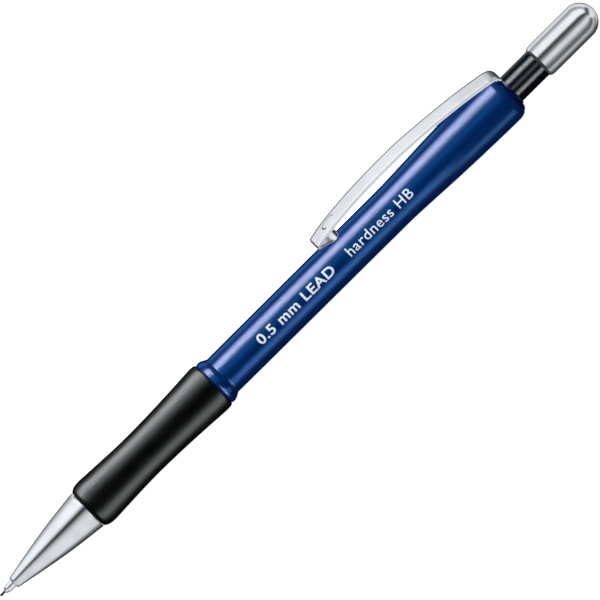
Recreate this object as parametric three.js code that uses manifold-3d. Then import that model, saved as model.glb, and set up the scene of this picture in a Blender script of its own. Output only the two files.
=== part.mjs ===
// Mechanical pencil for 0.5 mm lead: turned metal nose, rubber grip, plastic barrel with a steel
// pocket clip, and a push button at the rear that works a spring-loaded three-jaw chuck.
//
// Millimetres, +Z up. The pencil lies level on z = 0 with its axis along X: lead at -X, push button
// at +X, clip on top. Inside the "pencil" group x runs from the lead tip (0) to the top of the cap
// (LENGTH) and y = z = 0 is the pencil's axis.

import * as THREE from 'three';
import { mergeVertices } from 'three/addons/utils/BufferGeometryUtils.js';
import Module from 'manifold-3d';

const wasm = await Module();
wasm.setup();

// ---------------------------------------------------------------- driving dimensions

const LENGTH = 143;          // lead tip to top of the cap
const BODY_R = 4.75;         // largest radius, at the rear of the grip and of the barrel
const BARREL_R = 3.9;        // straight front half of the barrel
const BARREL_BORE_R = 3.4;
const CORE_R = 3.35;         // front body under the grip and in the barrel
const BUTTON_R = 2.82;       // black push-button sleeve
const CAP_R = 3.28;
const CAP_WALL = 0.45;
const LEAD_R = 0.25;
const PITCH = 1;             // nose thread, right-hand
const FIT = 0.05;            // radial clearance of pieces that slide or press together

// Stations along the pencil's axis
const SLEEVE_TIP = 1.05;     // guide sleeve stands out of the nose from here
const NOSE_FRONT = 3.1;
const NOSE_CHAMBER = 7.9;    // front wall of the nose's inner room, behind the sleeve's bore
const NOSE_STOP = 17;        // inner step of the nose that stops the chuck ring
const NOSE_REAR = 21;
const GRIP_FRONT = 21.05;
const MAGAZINE_FRONT = 30;   // step in the front body's bore, and front end of the magazine
const GRIP_REAR = 51.45;
const RING_FRONT = 51.5;     // blue ring of the front body, between grip and barrel
const BARREL_FRONT = 54;
const BARREL_REAR = 122.92;
const SLEEVE_FRONT = 114;    // hidden front end of the push-button sleeve
const CAP_FRONT = 129.6;
const SOCKET_FRONT = 131;    // floor of the eraser's socket
const DOME_CENTRE = LENGTH - CAP_R;

// Clip: a steel strip
const CLIP_WIDTH = 4.1;
const CLIP_THICK = 0.45;
const TONGUE_WIDTH = 2.8;    // the part of the strip inside the barrel is narrower
const TONGUE_Z = 3.55;       // underside of the tongue
const TONGUE_FRONT = 114;

// Facets round the large and the small turned pieces
const FACETS = 32;
const SMALL_FACETS = 20;

// ---------------------------------------------------------------- materials

function finish(color, roughness, metalness) {
  return new THREE.MeshStandardMaterial({ color, roughness, metalness });
}

const graphite = finish(0x2c2d30, 0.5, 0.2);
const satinSteel = finish(0xb9bcc2, 0.3, 1);
const polishedSteel = finish(0xd4d6da, 0.18, 1);
const brass = finish(0xb8934a, 0.35, 1);
const blackRubber = finish(0x17191a, 0.75, 0);
const bluePlastic = finish(0x0b2f6b, 0.22, 0);
const darkBluePlastic = finish(0x081a44, 0.3, 0);
const blackPlastic = finish(0x14171b, 0.22, 0);
const greyPlastic = finish(0x8e9196, 0.5, 0);
const whiteEraser = finish(0xf1efea, 0.85, 0);

// ---------------------------------------------------------------- helpers

const pencil = new THREE.Group();

function add(name, geometry, material) {
  const mesh = new THREE.Mesh(geometry, material);
  mesh.name = name;
  pencil.add(mesh);
}

// Turned piece about the pencil's axis. The outline is a list of [x, r]: along the outside towards
// +X, and back along the bore. A flat of the turned piece faces straight up and straight down.
function turned(outline, facets = FACETS) {
  const points = outline.map(([x, r]) => new THREE.Vector2(r, x));
  const onAxis = outline[0][1] === 0 && outline[outline.length - 1][1] === 0;
  if (!onAxis) points.push(points[0].clone());
  const geometry = new THREE.LatheGeometry(points, facets, Math.PI / facets);
  return geometry.rotateZ(-Math.PI / 2);
}

// Points of a smooth curve through a few [x, y] pairs
function curve(pairs, steps) {
  const spline = new THREE.SplineCurve(pairs.map(([x, y]) => new THREE.Vector2(x, y)));
  return spline.getPoints(steps).map((p) => [p.x, p.y]);
}

// Points of an elliptical arc, angles in degrees from +X
function arc(cx, cy, rx, ry, from, to, steps) {
  const rad = Math.PI / 180;
  const ellipse = new THREE.EllipseCurve(cx, cy, rx, ry, from * rad, to * rad, to < from);
  return ellipse.getPoints(steps).map((p) => [p.x, p.y]);
}

// Closed outline in the XZ plane, extruded across the pencil with its middle at y = 0
function slab(outline, width) {
  const shape = new THREE.Shape(outline.map(([x, z]) => new THREE.Vector2(x, z)));
  const geometry = new THREE.ExtrudeGeometry(shape, { depth: width, bevelEnabled: false });
  return geometry.translate(0, 0, -width / 2).rotateX(Math.PI / 2);
}

function solid(geometry) {
  const bare = geometry.clone();
  bare.deleteAttribute('normal');
  bare.deleteAttribute('uv');
  const merged = mergeVertices(bare, 1e-4);
  const index = Array.from(merged.index.array);
  const triangles = [];
  for (let i = 0; i < index.length; i += 3) {
    const [a, b, c] = index.slice(i, i + 3);
    if (a !== b && b !== c && c !== a) triangles.push(a, b, c);
  }
  return new wasm.Manifold(new wasm.Mesh({
    numProp: 3,
    vertProperties: new Float32Array(merged.attributes.position.array),
    triVerts: new Uint32Array(triangles),
  }));
}

function geometryOf(manifold) {
  const mesh = manifold.getMesh();
  const geometry = new THREE.BufferGeometry();
  geometry.setAttribute('position', new THREE.BufferAttribute(mesh.vertProperties, 3));
  geometry.setIndex(new THREE.BufferAttribute(mesh.triVerts, 1));
  return geometry;
}

// Round bar of radius wire bent into a helix about the pencil's axis, right-hand
class Helix extends THREE.Curve {
  constructor(x0, x1, radius, turns) {
    super();
    Object.assign(this, { x0, x1, radius, turns });
  }
  getPoint(t, target = new THREE.Vector3()) {
    const angle = t * this.turns * 2 * Math.PI;
    const x = this.x0 + t * (this.x1 - this.x0);
    return target.set(x, this.radius * Math.cos(angle), this.radius * Math.sin(angle));
  }
}

function coil(x0, x1, radius, turns, wire, sides, stepsPerTurn) {
  const section = new THREE.Shape();
  for (let i = 0; i < sides; i += 1) {
    const a = i / sides * 2 * Math.PI;
    const move = i === 0 ? 'moveTo' : 'lineTo';
    section[move](wire * Math.cos(a), wire * Math.sin(a));
  }
  return new THREE.ExtrudeGeometry(section, {
    steps: Math.round(turns * stepsPerTurn),
    extrudePath: new Helix(x0, x1, radius, turns),
    bevelEnabled: false,
  });
}

// ---------------------------------------------------------------- nose

function lead() {
  const length = 45;
  const bevel = 0.06;
  return turned([
    [0, 0], [0, LEAD_R - bevel], [bevel, LEAD_R], [length, LEAD_R], [length, 0],
  ], 12);
}

// Bullet-shaped sleeve that guides the lead and slides back into the nose
function guideSleeve() {
  const shankR = 0.8;
  const flange = NOSE_CHAMBER + 0.1;
  const flangeR = 1.35;
  const rear = 9.2;
  const bore = LEAD_R + 0.03;
  return turned([
    ...curve([[SLEEVE_TIP, 0.4], [1.35, 0.57], [1.8, 0.71], [2.4, shankR]], 6),
    [flange, shankR], [flange, flangeR], [rear, flangeR], [rear, bore], [SLEEVE_TIP, bore],
  ], SMALL_FACETS);
}

// Rubber washer that holds the lead while the chuck lets go of it
function leadRetainer() {
  const front = 11.4;
  const rear = 13.4;
  const outer = 1.35;
  const bore = LEAD_R + FIT;
  return turned([[front, outer], [rear, outer], [rear, bore], [front, bore]], SMALL_FACETS);
}

function noseCone() {
  const mouthR = 0.84;
  const chuckRoom = 1.4;
  const threadR = 3;
  const lip = 0.12;
  return turned([
    [NOSE_FRONT, 1.06],
    ...curve([[NOSE_FRONT + lip, 1.15], [7.9, 2.02], [14, 3.05], [NOSE_REAR, 3.92]], 12),
    [NOSE_REAR, threadR], [NOSE_STOP, threadR], [NOSE_STOP, chuckRoom],
    [NOSE_CHAMBER, chuckRoom], [NOSE_CHAMBER, mouthR], [NOSE_FRONT, mouthR],
  ]);
}

// ---------------------------------------------------------------- front body and grip

// Threaded nose, core of the grip, blue ring and spigot in one moulding
function frontBody() {
  const threadStart = 17.2;
  const rootR = 2.62;
  const chuckBore = 2.05;
  const magazineBore = 2.3;
  const spigotEnd = 62;
  const neckR = 3.84;
  const tube = solid(turned([
    [threadStart, rootR], [GRIP_FRONT, rootR], [GRIP_FRONT, CORE_R], [RING_FRONT, CORE_R],
    [RING_FRONT, 4.52], [52.2, 4.47],
    ...arc(52.3, 3.86, 1.25, 0.6, 72, 8, 5),
    [BARREL_FRONT - FIT, neckR], [BARREL_FRONT - FIT, CORE_R], [spigotEnd, CORE_R],
    [spigotEnd, magazineBore], [MAGAZINE_FRONT, magazineBore], [MAGAZINE_FRONT, chuckBore],
    [threadStart, chuckBore],
  ]));
  const turns = 2.6;
  const first = 17.7;
  const ridgeR = 0.28;
  const ridge = coil(first, first + turns * PITCH, rootR + 0.04, turns, ridgeR, 6, 20);
  return geometryOf(tube.add(solid(ridge)));
}

function rubberGrip() {
  const bore = CORE_R + FIT;
  const edge = 0.35;
  const outside = curve([
    [23.4, 4.54], [27, 4.35], [33, 4.14], [39, 4.21], [45, 4.48], [49.6, BODY_R],
  ], 16);
  return turned([
    [GRIP_FRONT + FIT, 3.86], [21.25, 4.0],
    ...arc(23.4, 3.96, 2.0, 0.58, 160, 108, 4),
    ...outside,
    [50.4, BODY_R],
    ...arc(GRIP_REAR - 0.85, 4.25, 0.85, 0.48, 66, 0, 4),
    [GRIP_REAR, bore + edge], [GRIP_REAR, bore], [GRIP_FRONT + FIT, bore],
  ]);
}

// ---------------------------------------------------------------- barrel

// Straight in front, flared towards the rear, with a rounded rear edge and a slot for the clip
function barrel() {
  const bushBore = 3.55;
  const bushSeat = 117.9;
  const slotFront = TONGUE_FRONT - 0.1;
  const shell = solid(turned([
    [BARREL_FRONT, BARREL_R - 0.08], [BARREL_FRONT + 0.25, BARREL_R], [92, 3.94],
    ...curve([[96, 3.97], [101, 4.17], [106.4, 4.42], [112, 4.6], [117, 4.71], [119.8, BODY_R]], 12),
    [120.8, BODY_R],
    ...arc(120.8, 3.0, 2.28, 1.72, 80, 18.7, 8),
    [BARREL_REAR, bushBore], [bushSeat, bushBore], [bushSeat, BARREL_BORE_R],
    [BARREL_FRONT, BARREL_BORE_R],
  ]));
  const slotRear = BARREL_REAR + 2;
  const slotFloor = 3;
  const slotTop = TONGUE_Z + CLIP_THICK + FIT;
  const slotWidth = TONGUE_WIDTH + 2 * FIT;
  const slot = new THREE.BoxGeometry(slotRear - slotFront, slotWidth, slotTop - slotFloor);
  slot.translate((slotRear + slotFront) / 2, 0, (slotTop + slotFloor) / 2);
  return geometryOf(shell.subtract(solid(slot)));
}

// Ring that guides the push button and closes the rear of the barrel
function rearBush() {
  const front = 118;
  const rear = 123.25;
  const outer = 3.5;
  const bore = BUTTON_R + 0.08;
  const bevel = 0.2;
  return turned([
    [front, outer], [rear - bevel, outer], [rear, outer - bevel], [rear, bore + 0.1],
    [rear - 0.1, bore], [front, bore],
  ]);
}

// ---------------------------------------------------------------- clip

// Outer face of the strip as [x, z]: it rises from the free end, is level along its crest and
// falls to the root
const CLIP_RISE = [[80.5, 5.84], [84.1, 6.62], [89.3, 7.24], [94.4, 7.53], [97.5, 7.6]];
const CLIP_FALL = [[101.5, 7.6], [104.7, 7.42], [110, 6.93], [116, 6.22], [121.5, 5.3]];
const BEND = { x: 121.85, z: 3.77, r: 1.55 };   // outer radius of the bend over the barrel's edge
const SPLIT = 45;                               // degrees round the bend where arm and tongue part

// A strip of even thickness: the outer face and its parallel on the inner side
function strip(face, thick) {
  const inner = face.map(([x, z], i) => {
    const [ax, az] = face[Math.max(i - 1, 0)];
    const [bx, bz] = face[Math.min(i + 1, face.length - 1)];
    const length = Math.hypot(bx - ax, bz - az);
    return [x + (bz - az) / length * thick, z - (bx - ax) / length * thick];
  });
  return [...face, ...inner.reverse()];
}

// Arm of the clip. At the free end the strip is folded back under itself and bowed down to the
// barrel, to make the foot that grips the pocket cloth.
function clipArm() {
  const bendStart = 78;
  const arm = [
    ...curve(CLIP_RISE, 14),
    ...curve(CLIP_FALL, 14),
    ...arc(BEND.x, BEND.z, BEND.r, BEND.r, bendStart, SPLIT + 3, 5).slice(1),
  ];
  const footFace = [
    ...arc(80.75, 5.6, 0.28, 0.3, 130, 235, 4),
    ...curve([[81.3, 5.02], [82.6, 4.5], [83.6, 4.14]], 5),
    ...arc(83.85, 4.75, 0.85, 0.65, -75, 10, 6),
    [84.75, 5.6],
  ];
  const footThick = 0.36;
  const foot = strip(footFace.slice().reverse(), footThick);
  return geometryOf(solid(slab(strip(arm, CLIP_THICK), CLIP_WIDTH)).add(solid(slab(foot, CLIP_WIDTH))));
}

// Root of the clip: down over the edge of the barrel and forward into its slot
function clipTongue() {
  const rearX = BEND.x + BEND.r;
  const leg = [
    ...arc(BEND.x, BEND.z, BEND.r, BEND.r, SPLIT - 3, 0, 5),
    ...arc(rearX - 0.2, TONGUE_Z + 0.2, 0.2, 0.2, 0, -90, 3),
  ];
  const front = rearX - CLIP_THICK;
  const tongueRear = rearX - 0.22;
  const top = TONGUE_Z + CLIP_THICK;
  const inner = arc(BEND.x, BEND.z, BEND.r - CLIP_THICK, BEND.r - CLIP_THICK, 12.5, SPLIT - 3, 4);
  const legOutline = [...leg, [front, TONGUE_Z], [front, top], ...inner];
  const tongueOutline = [
    [TONGUE_FRONT, TONGUE_Z], [tongueRear, TONGUE_Z], [tongueRear, top], [TONGUE_FRONT, top],
  ];
  const tongue = solid(slab(tongueOutline, TONGUE_WIDTH));
  return geometryOf(solid(slab(legOutline, CLIP_WIDTH)).add(tongue));
}

// ---------------------------------------------------------------- mechanism

// Brass sleeve pressed into the front body: seat of the chuck ring in front, of the spring behind
function clutchSleeve() {
  const front = 17.3;
  const seat = 20.9;
  const rear = 22.8;
  const outer = 2;
  const ringRoom = 1.82;
  const shankHole = 1.15;
  return turned([
    [front, outer], [rear, outer], [rear, shankHole], [seat, shankHole], [seat, ringRoom],
    [front, ringRoom],
  ], SMALL_FACETS);
}

// Three-jaw chuck: a brass bar with a conical head, slit lengthwise from the front
function chuck() {
  const front = 17.9;
  const rear = 34;
  const headR = 1.25;
  const shankR = 0.95;
  const feedR = 0.55;
  const bore = LEAD_R + FIT;
  const bar = solid(turned([
    [front, 0.75], [18.3, headR], [18.9, headR], [20.7, shankR], [rear, shankR],
    [rear, feedR], [22, feedR], [21.6, bore], [front, bore],
  ], 24));
  const jaws = 3;
  const slitFront = 17;
  const slitEnd = 28;
  const slitWidth = 0.2;
  const slitDepth = 2;
  let slitBar = bar;
  for (let i = 0; i < jaws; i += 1) {
    const slit = new THREE.BoxGeometry(slitEnd - slitFront, slitDepth, slitWidth);
    slit.translate((slitEnd + slitFront) / 2, slitDepth / 2, 0);
    slit.rotateX(i / jaws * 2 * Math.PI + Math.PI / 2);
    slitBar = slitBar.subtract(solid(slit));
  }
  return geometryOf(slitBar);
}

function chuckRing() {
  const front = 18.3;
  const rear = 20.8;
  const outer = 1.75;
  return turned([[front, outer], [rear, outer], [rear, 1.08], [front, 1.4]], 24);
}

function returnSpring() {
  const front = 23.1;
  const rear = 29.75;
  const radius = 1.45;
  const wire = 0.17;
  const turns = 6.5;
  return coil(front, rear, radius, turns, wire, 6, 18);
}

function leadMagazine() {
  const rear = 121;
  const floor = 34.2;
  const outer = 1.9;
  const inner = 1.5;
  const shankHole = 1;
  return turned([
    [MAGAZINE_FRONT, outer], [rear, outer], [rear, inner], [floor, inner], [floor, shankHole],
    [MAGAZINE_FRONT, shankHole],
  ], SMALL_FACETS);
}

// Spare lead lying on the floor of the magazine, turned by angle from the lowest line
function spareLead(angle) {
  const length = 60;
  const start = 40;
  const centreR = 1.2;
  const bar = turned([[0, 0], [0, LEAD_R], [length, LEAD_R], [length, 0]], 8);
  return bar.translate(start, centreR * Math.sin(angle), -centreR * Math.cos(angle));
}

// ---------------------------------------------------------------- push button

// Black sleeve on the magazine, with the spigot that carries the cap and the eraser's socket
function buttonSleeve() {
  const bore = 1.95;
  const socketR = 2.35;
  const shoulder = CAP_FRONT + 1;
  const spigotR = CAP_R - CAP_WALL - 0.08;
  const rear = 137;
  return turned([
    [SLEEVE_FRONT, BUTTON_R], [shoulder, BUTTON_R], [shoulder, spigotR], [rear - 0.2, spigotR],
    [rear, spigotR - 0.15], [rear, socketR], [SOCKET_FRONT, socketR], [SOCKET_FRONT, bore],
    [SLEEVE_FRONT, bore],
  ]);
}

function eraser() {
  const front = SOCKET_FRONT + 0.1;
  const rear = 140.2;
  const radius = 2.3;
  const edge = 0.3;
  return turned([
    [front, 0], [front, radius], [rear - edge, radius], [rear, radius - edge], [rear, 0],
  ], 24);
}

// Thin drawn-metal cap with a domed top
function buttonCap() {
  const inner = CAP_R - CAP_WALL;
  const mouth = BUTTON_R + FIT;
  const rimR = 2.95;
  return turned([
    [CAP_FRONT, mouth + 0.03],
    ...arc(CAP_FRONT + 1, rimR, 0.98, CAP_R - rimR, 165, 90, 4),
    ...arc(DOME_CENTRE, 0, CAP_R, CAP_R, 90, 0, 9).slice(0, -1),
    [LENGTH, 0], [LENGTH - CAP_WALL, 0],
    ...arc(DOME_CENTRE, 0, inner, inner, 0, 90, 7).slice(1),
    [CAP_FRONT + 1.4, inner], [CAP_FRONT + 1.1, mouth], [CAP_FRONT, mouth],
  ]);
}

// ---------------------------------------------------------------- assembly

add('lead', lead(), graphite);
add('guide_sleeve', guideSleeve(), polishedSteel);
add('lead_retainer', leadRetainer(), blackRubber);
add('nose_cone', noseCone(), satinSteel);
add('front_body', frontBody(), bluePlastic);
add('rubber_grip', rubberGrip(), blackRubber);
add('barrel', barrel(), bluePlastic);
add('rear_bush', rearBush(), darkBluePlastic);
add('clip_tongue', clipTongue(), polishedSteel);
add('clip_arm', clipArm(), polishedSteel);
add('clutch_sleeve', clutchSleeve(), brass);
add('chuck', chuck(), brass);
add('chuck_ring', chuckRing(), brass);
add('return_spring', returnSpring(), polishedSteel);
add('lead_magazine', leadMagazine(), greyPlastic);
const spareLeads = 5;
for (let i = 0; i < spareLeads; i += 1) {
  const angle = (i - 2) * 28 * Math.PI / 180;
  add(`spare_lead_${i + 1}`, spareLead(angle), graphite);
}
add('button_sleeve', buttonSleeve(), blackPlastic);
add('eraser', eraser(), whiteEraser);
add('button_cap', buttonCap(), polishedSteel);

pencil.position.set(-LENGTH / 2, 0, BODY_R * Math.cos(Math.PI / FACETS));

const part = new THREE.Group();
part.add(pencil);

export default part;
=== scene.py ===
"""Mechanical pencil: fine meshes, materials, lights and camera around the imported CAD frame.

Shapes are written in millimetres, as the pencil is drawn on a bench: x runs from the lead tip to the
cap, r is the distance from the pencil's axis, and z is the height above that axis.
"""

import math

import bmesh
import bpy
from mathutils import Matrix, Vector


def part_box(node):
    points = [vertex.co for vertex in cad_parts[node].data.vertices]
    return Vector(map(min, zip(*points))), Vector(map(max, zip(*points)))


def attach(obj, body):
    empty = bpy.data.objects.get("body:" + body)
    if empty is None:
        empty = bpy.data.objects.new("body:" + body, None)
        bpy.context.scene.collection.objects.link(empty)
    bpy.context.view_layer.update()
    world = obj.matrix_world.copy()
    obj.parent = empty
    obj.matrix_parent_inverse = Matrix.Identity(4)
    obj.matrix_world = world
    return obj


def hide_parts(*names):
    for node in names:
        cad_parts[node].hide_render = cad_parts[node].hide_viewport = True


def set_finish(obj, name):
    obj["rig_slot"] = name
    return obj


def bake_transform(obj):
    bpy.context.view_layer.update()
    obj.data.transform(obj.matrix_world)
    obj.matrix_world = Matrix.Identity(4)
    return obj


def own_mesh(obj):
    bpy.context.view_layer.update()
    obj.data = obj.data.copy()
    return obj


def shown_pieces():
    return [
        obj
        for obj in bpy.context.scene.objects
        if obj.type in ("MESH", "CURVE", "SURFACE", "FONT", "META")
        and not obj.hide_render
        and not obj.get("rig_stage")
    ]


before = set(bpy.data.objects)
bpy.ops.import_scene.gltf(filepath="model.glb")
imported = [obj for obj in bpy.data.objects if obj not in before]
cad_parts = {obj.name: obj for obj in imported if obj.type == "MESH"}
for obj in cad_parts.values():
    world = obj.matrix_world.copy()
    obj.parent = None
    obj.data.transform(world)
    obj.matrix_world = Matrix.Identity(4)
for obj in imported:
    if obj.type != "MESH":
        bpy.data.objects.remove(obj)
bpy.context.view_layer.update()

MM = 0.001
TIP_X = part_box("lead")[0].x
AXIS_Z = sum(corner.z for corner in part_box("button_cap")) / 2


def front(cad_node):
    """Station of a CAD node's front end, in millimetres from the lead tip."""
    return (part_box(cad_node)[0].x - TIP_X) / MM


def rear(cad_node):
    """Station of a CAD node's rear end, in millimetres from the lead tip."""
    return (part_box(cad_node)[1].x - TIP_X) / MM


# ---------------------------------------------------------------- driving dimensions

LENGTH = rear("button_cap")
BODY_R = 4.75
BARREL_R = 3.9
BARREL_BORE_R = 3.4
CORE_R = 3.35
BUTTON_R = 2.82
CAP_R = 3.28
CAP_WALL = 0.45
LEAD_R = 0.25
PITCH = 1.0
FIT = 0.05

NOSE_STOP = 17.0
NOSE_CHAMBER = 7.9
MAGAZINE_FRONT = front("lead_magazine")
RING_FRONT = rear("rubber_grip") + FIT
BARREL_FRONT = front("barrel")
BARREL_REAR = rear("barrel")
DOME_CENTRE = LENGTH - CAP_R
SOCKET_FRONT = front("eraser") - 0.1

CLIP_WIDTH = 4.2
CLIP_THICK = 0.45
ARM_THICK = 0.6
FOLD_THICK = 0.21
TONGUE_WIDTH = 2.8
TONGUE_Z = 3.55

SEGMENTS = 144
SMALL_SEGMENTS = 72
SHARP = math.radians(38)


# ---------------------------------------------------------------- outlines

def curve(points, steps):
    """Smooth curve through a few points (Catmull-Rom), as a list of steps + 1 points."""
    knots = [Vector(p) for p in points]
    knots = [knots[0] * 2 - knots[1], *knots, knots[-1] * 2 - knots[-2]]
    spans = len(points) - 1
    done = []
    for i in range(steps + 1):
        t = i / steps * spans
        k = min(int(t), spans - 1)
        u = t - k
        a, b, c, d = knots[k:k + 4]
        square, cube = 2 * a - 5 * b + 4 * c - d, 3 * b - 3 * c + d - a
        done.append(tuple(0.5 * (2 * b + (c - a) * u + square * u * u + cube * u ** 3)))
    return done


def arc(cx, cy, rx, ry, start, end, steps):
    """Elliptical arc, angles in degrees."""
    done = []
    for i in range(steps + 1):
        angle = math.radians(start + (end - start) * i / steps)
        done.append((cx + rx * math.cos(angle), cy + ry * math.sin(angle)))
    return done


def rounded(outline, steps=4):
    """Closed outline in which a point's third number, if it has one, is the radius of its corner."""
    done = []
    count = len(outline)
    for i, point in enumerate(outline):
        here = Vector(point[:2])
        if len(point) < 3:
            done.append(tuple(here))
            continue
        radius = point[2]
        back = (Vector(outline[i - 1][:2]) - here).normalized()
        ahead = (Vector(outline[(i + 1) % count][:2]) - here).normalized()
        half = back.angle(ahead) / 2
        reach = radius / math.tan(half)
        centre = here + (back + ahead).normalized() * radius / math.sin(half)
        first = here + back * reach - centre
        last = here + ahead * reach - centre
        done += [tuple(centre + first.slerp(last, k / steps) * radius) for k in range(steps + 1)]
    return done


# ---------------------------------------------------------------- meshes

def place(x, y, z):
    """Millimetres on the pencil to metres in the row frame."""
    return Vector((TIP_X + x * MM, y * MM, AXIS_Z + z * MM))


def mark_sharp(mesh):
    """Keeps an edge smooth only where two faces meet at a small angle."""
    for edge in mesh.edges:
        edge.smooth = len(edge.link_faces) == 2 and edge.calc_face_angle(0) < SHARP


def finished(name, mesh):
    """Object from a bmesh: outward normals, smooth faces and edges that are sharp where it turns sharply."""
    bmesh.ops.remove_doubles(mesh, verts=mesh.verts, dist=1e-7)
    bmesh.ops.recalc_face_normals(mesh, faces=mesh.faces)
    for face in mesh.faces:
        face.smooth = True
    mark_sharp(mesh)
    data = bpy.data.meshes.new(name)
    mesh.to_mesh(data)
    mesh.free()
    made = bpy.data.objects.new(name, data)
    bpy.context.scene.collection.objects.link(made)
    weighted = made.modifiers.new("even_shading", "WEIGHTED_NORMAL")
    weighted.keep_sharp = True
    return made


def turned_mesh(outline, segments=SEGMENTS, swell=None):
    """Closed outline of (x, r) turned about the pencil's axis. swell(x, r, angle) may change the radius."""
    mesh = bmesh.new()
    rings = []
    for x, r in outline:
        if r < 1e-6:
            rings.append([mesh.verts.new(place(x, 0, 0))])
            continue
        ring = []
        for i in range(segments):
            angle = i / segments * 2 * math.pi
            radius = swell(x, r, angle) if swell else r
            ring.append(mesh.verts.new(place(x, radius * math.sin(angle), radius * math.cos(angle))))
        rings.append(ring)
    for one, two in zip(rings, rings[1:] + rings[:1]):
        if len(one) == 1 and len(two) == 1:
            continue
        for i in range(segments):
            k = (i + 1) % segments
            corners = [one[i % len(one)], one[k % len(one)], two[k % len(two)], two[i % len(two)]]
            mesh.faces.new(list(dict.fromkeys(corners)))
    return mesh


def turned(name, outline, segments=SEGMENTS):
    """Finished object from an outline of (x, r), or of (x, r, corner radius)."""
    return finished(name, turned_mesh(rounded(outline), segments))


def swept_mesh(sections):
    """Closed skin over a list of sections, each a loop with the same number of points."""
    mesh = bmesh.new()
    loops = [[mesh.verts.new(place(*p)) for p in section] for section in sections]
    count = len(loops[0])
    for one, two in zip(loops, loops[1:]):
        for i in range(count):
            k = (i + 1) % count
            mesh.faces.new((one[i], one[k], two[k], two[i]))
    mesh.faces.new(loops[0])
    mesh.faces.new(loops[-1])
    return mesh


def cut(piece, boxes):
    """Cuts boxes, each (lowest corner, highest corner, turn about the axis in degrees), out of a piece."""
    mesh = bmesh.new()
    for low, high, turn in boxes:
        size = Vector(high) - Vector(low)
        middle = (Vector(high) + Vector(low)) / 2
        made = bmesh.ops.create_cube(mesh, size=1)["verts"]
        spin = Matrix.Rotation(math.radians(turn), 3, "X")
        for vertex in made:
            local = spin @ (Vector(a * b for a, b in zip(vertex.co, size)) + middle)
            vertex.co = place(*local)
    tool = finished("cutter", mesh)
    tool.modifiers.clear()
    cutter = piece.modifiers.new("cut", "BOOLEAN")
    cutter.operation = "DIFFERENCE"
    cutter.solver = "EXACT"
    cutter.use_self = True
    cutter.object = tool
    piece.modifiers.move(piece.modifiers.find("cut"), 0)
    shading = piece.modifiers["even_shading"]
    shading.show_viewport = False
    bpy.context.view_layer.update()
    evaluated = piece.evaluated_get(bpy.context.evaluated_depsgraph_get())
    result = bmesh.new()
    result.from_mesh(evaluated.to_mesh())
    evaluated.to_mesh_clear()
    piece.modifiers.remove(piece.modifiers["cut"])
    shading.show_viewport = True
    mark_sharp(result)
    result.to_mesh(piece.data)
    result.free()
    bpy.data.objects.remove(tool)
    return piece


# ---------------------------------------------------------------- materials

def node(look, kind, inputs=None, **settings):
    """Shader node with its settings and its inputs, each a value or another node's output."""
    made = look.node_tree.nodes.new(kind)
    for name, value in settings.items():
        setattr(made, name, value)
    for name, value in (inputs or {}).items():
        if isinstance(value, bpy.types.NodeSocket):
            look.node_tree.links.new(value, made.inputs[name])
        else:
            made.inputs[name].default_value = value
    return made


def new_look(name, color, roughness, **sockets):
    """Principled material with constant sockets. Returns the material and its shader node."""
    look = bpy.data.materials.new(name)
    look.use_nodes = True
    shader = look.node_tree.nodes["Principled BSDF"]
    shader.inputs["Base Color"].default_value = (*color, 1)
    shader.inputs["Roughness"].default_value = roughness
    for socket, value in sockets.items():
        shader.inputs[socket.replace("_", " ")].default_value = value
    return look, shader


def grain(look, scale, stretch=(1, 1, 1), detail=3.0, rough=0.55, distortion=0.0):
    """Noise whose scale is in features per millimetre, stretched along x, y and z."""
    coordinates = node(look, "ShaderNodeTexCoord")
    spread = [s / MM for s in stretch]
    mapping = node(look, "ShaderNodeMapping", {"Vector": coordinates.outputs["Object"], "Scale": spread})
    noise = node(look, "ShaderNodeTexNoise", {
        "Vector": mapping.outputs["Vector"], "Scale": scale, "Detail": detail,
        "Roughness": rough, "Distortion": distortion,
    })
    return noise.outputs["Fac"]


def ramp(look, factor, stops, shape="LINEAR"):
    """Colour ramp over a factor. Stops are (position, colour)."""
    made = node(look, "ShaderNodeValToRGB", {"Fac": factor})
    made.color_ramp.interpolation = shape
    elements = made.color_ramp.elements
    while len(elements) < len(stops):
        elements.new(0.5)
    for element, (position, color) in zip(elements, stops):
        element.position = position
        element.color = (*color, 1)
    return made.outputs["Color"]


def blended(look, factor, one, two):
    """Mix of two colours by a factor."""
    mix = node(look, "ShaderNodeMix", {0: factor, 6: one, 7: two}, data_type="RGBA")
    return mix.outputs[2]


def between(look, factor, low, high, start=0.3, end=0.7):
    """Maps a factor's range from start to end onto the values from low to high."""
    made = node(look, "ShaderNodeMapRange", {
        "Value": factor, "From Min": start, "From Max": end, "To Min": low, "To Max": high,
    })
    return made.outputs["Result"]


def times(look, one, two):
    """Product of two numbers."""
    return node(look, "ShaderNodeMath", {0: one, 1: two}, operation="MULTIPLY").outputs[0]


def drive(look, shader, socket, output):
    """Links another node's output to one of the shader's sockets."""
    look.node_tree.links.new(output, shader.inputs[socket])


def bump(look, shader, height, depth):
    """Bump on the shader, with its depth in millimetres."""
    bumped = node(look, "ShaderNodeBump", {"Height": height, "Distance": depth * MM, "Strength": 1.0})
    drive(look, shader, "Normal", bumped.outputs["Normal"])


def metal(name, color, roughness, lines, depth, spread=0.04, wear=0.9):
    """Bare metal with fine tool lines. lines is the stretch of the line noise."""
    look, shader = new_look(name, color, roughness, Metallic=1.0)
    tool = grain(look, 1.0, lines, detail=4, rough=0.7)
    haze = grain(look, 0.35, detail=4)
    darker = tuple(c * wear for c in color)
    drive(look, shader, "Base Color", ramp(look, haze, [(0.3, darker), (0.62, color)]))
    drive(look, shader, "Roughness", between(look, tool, roughness - spread, roughness + spread))
    bump(look, shader, tool, depth)
    return look


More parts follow.
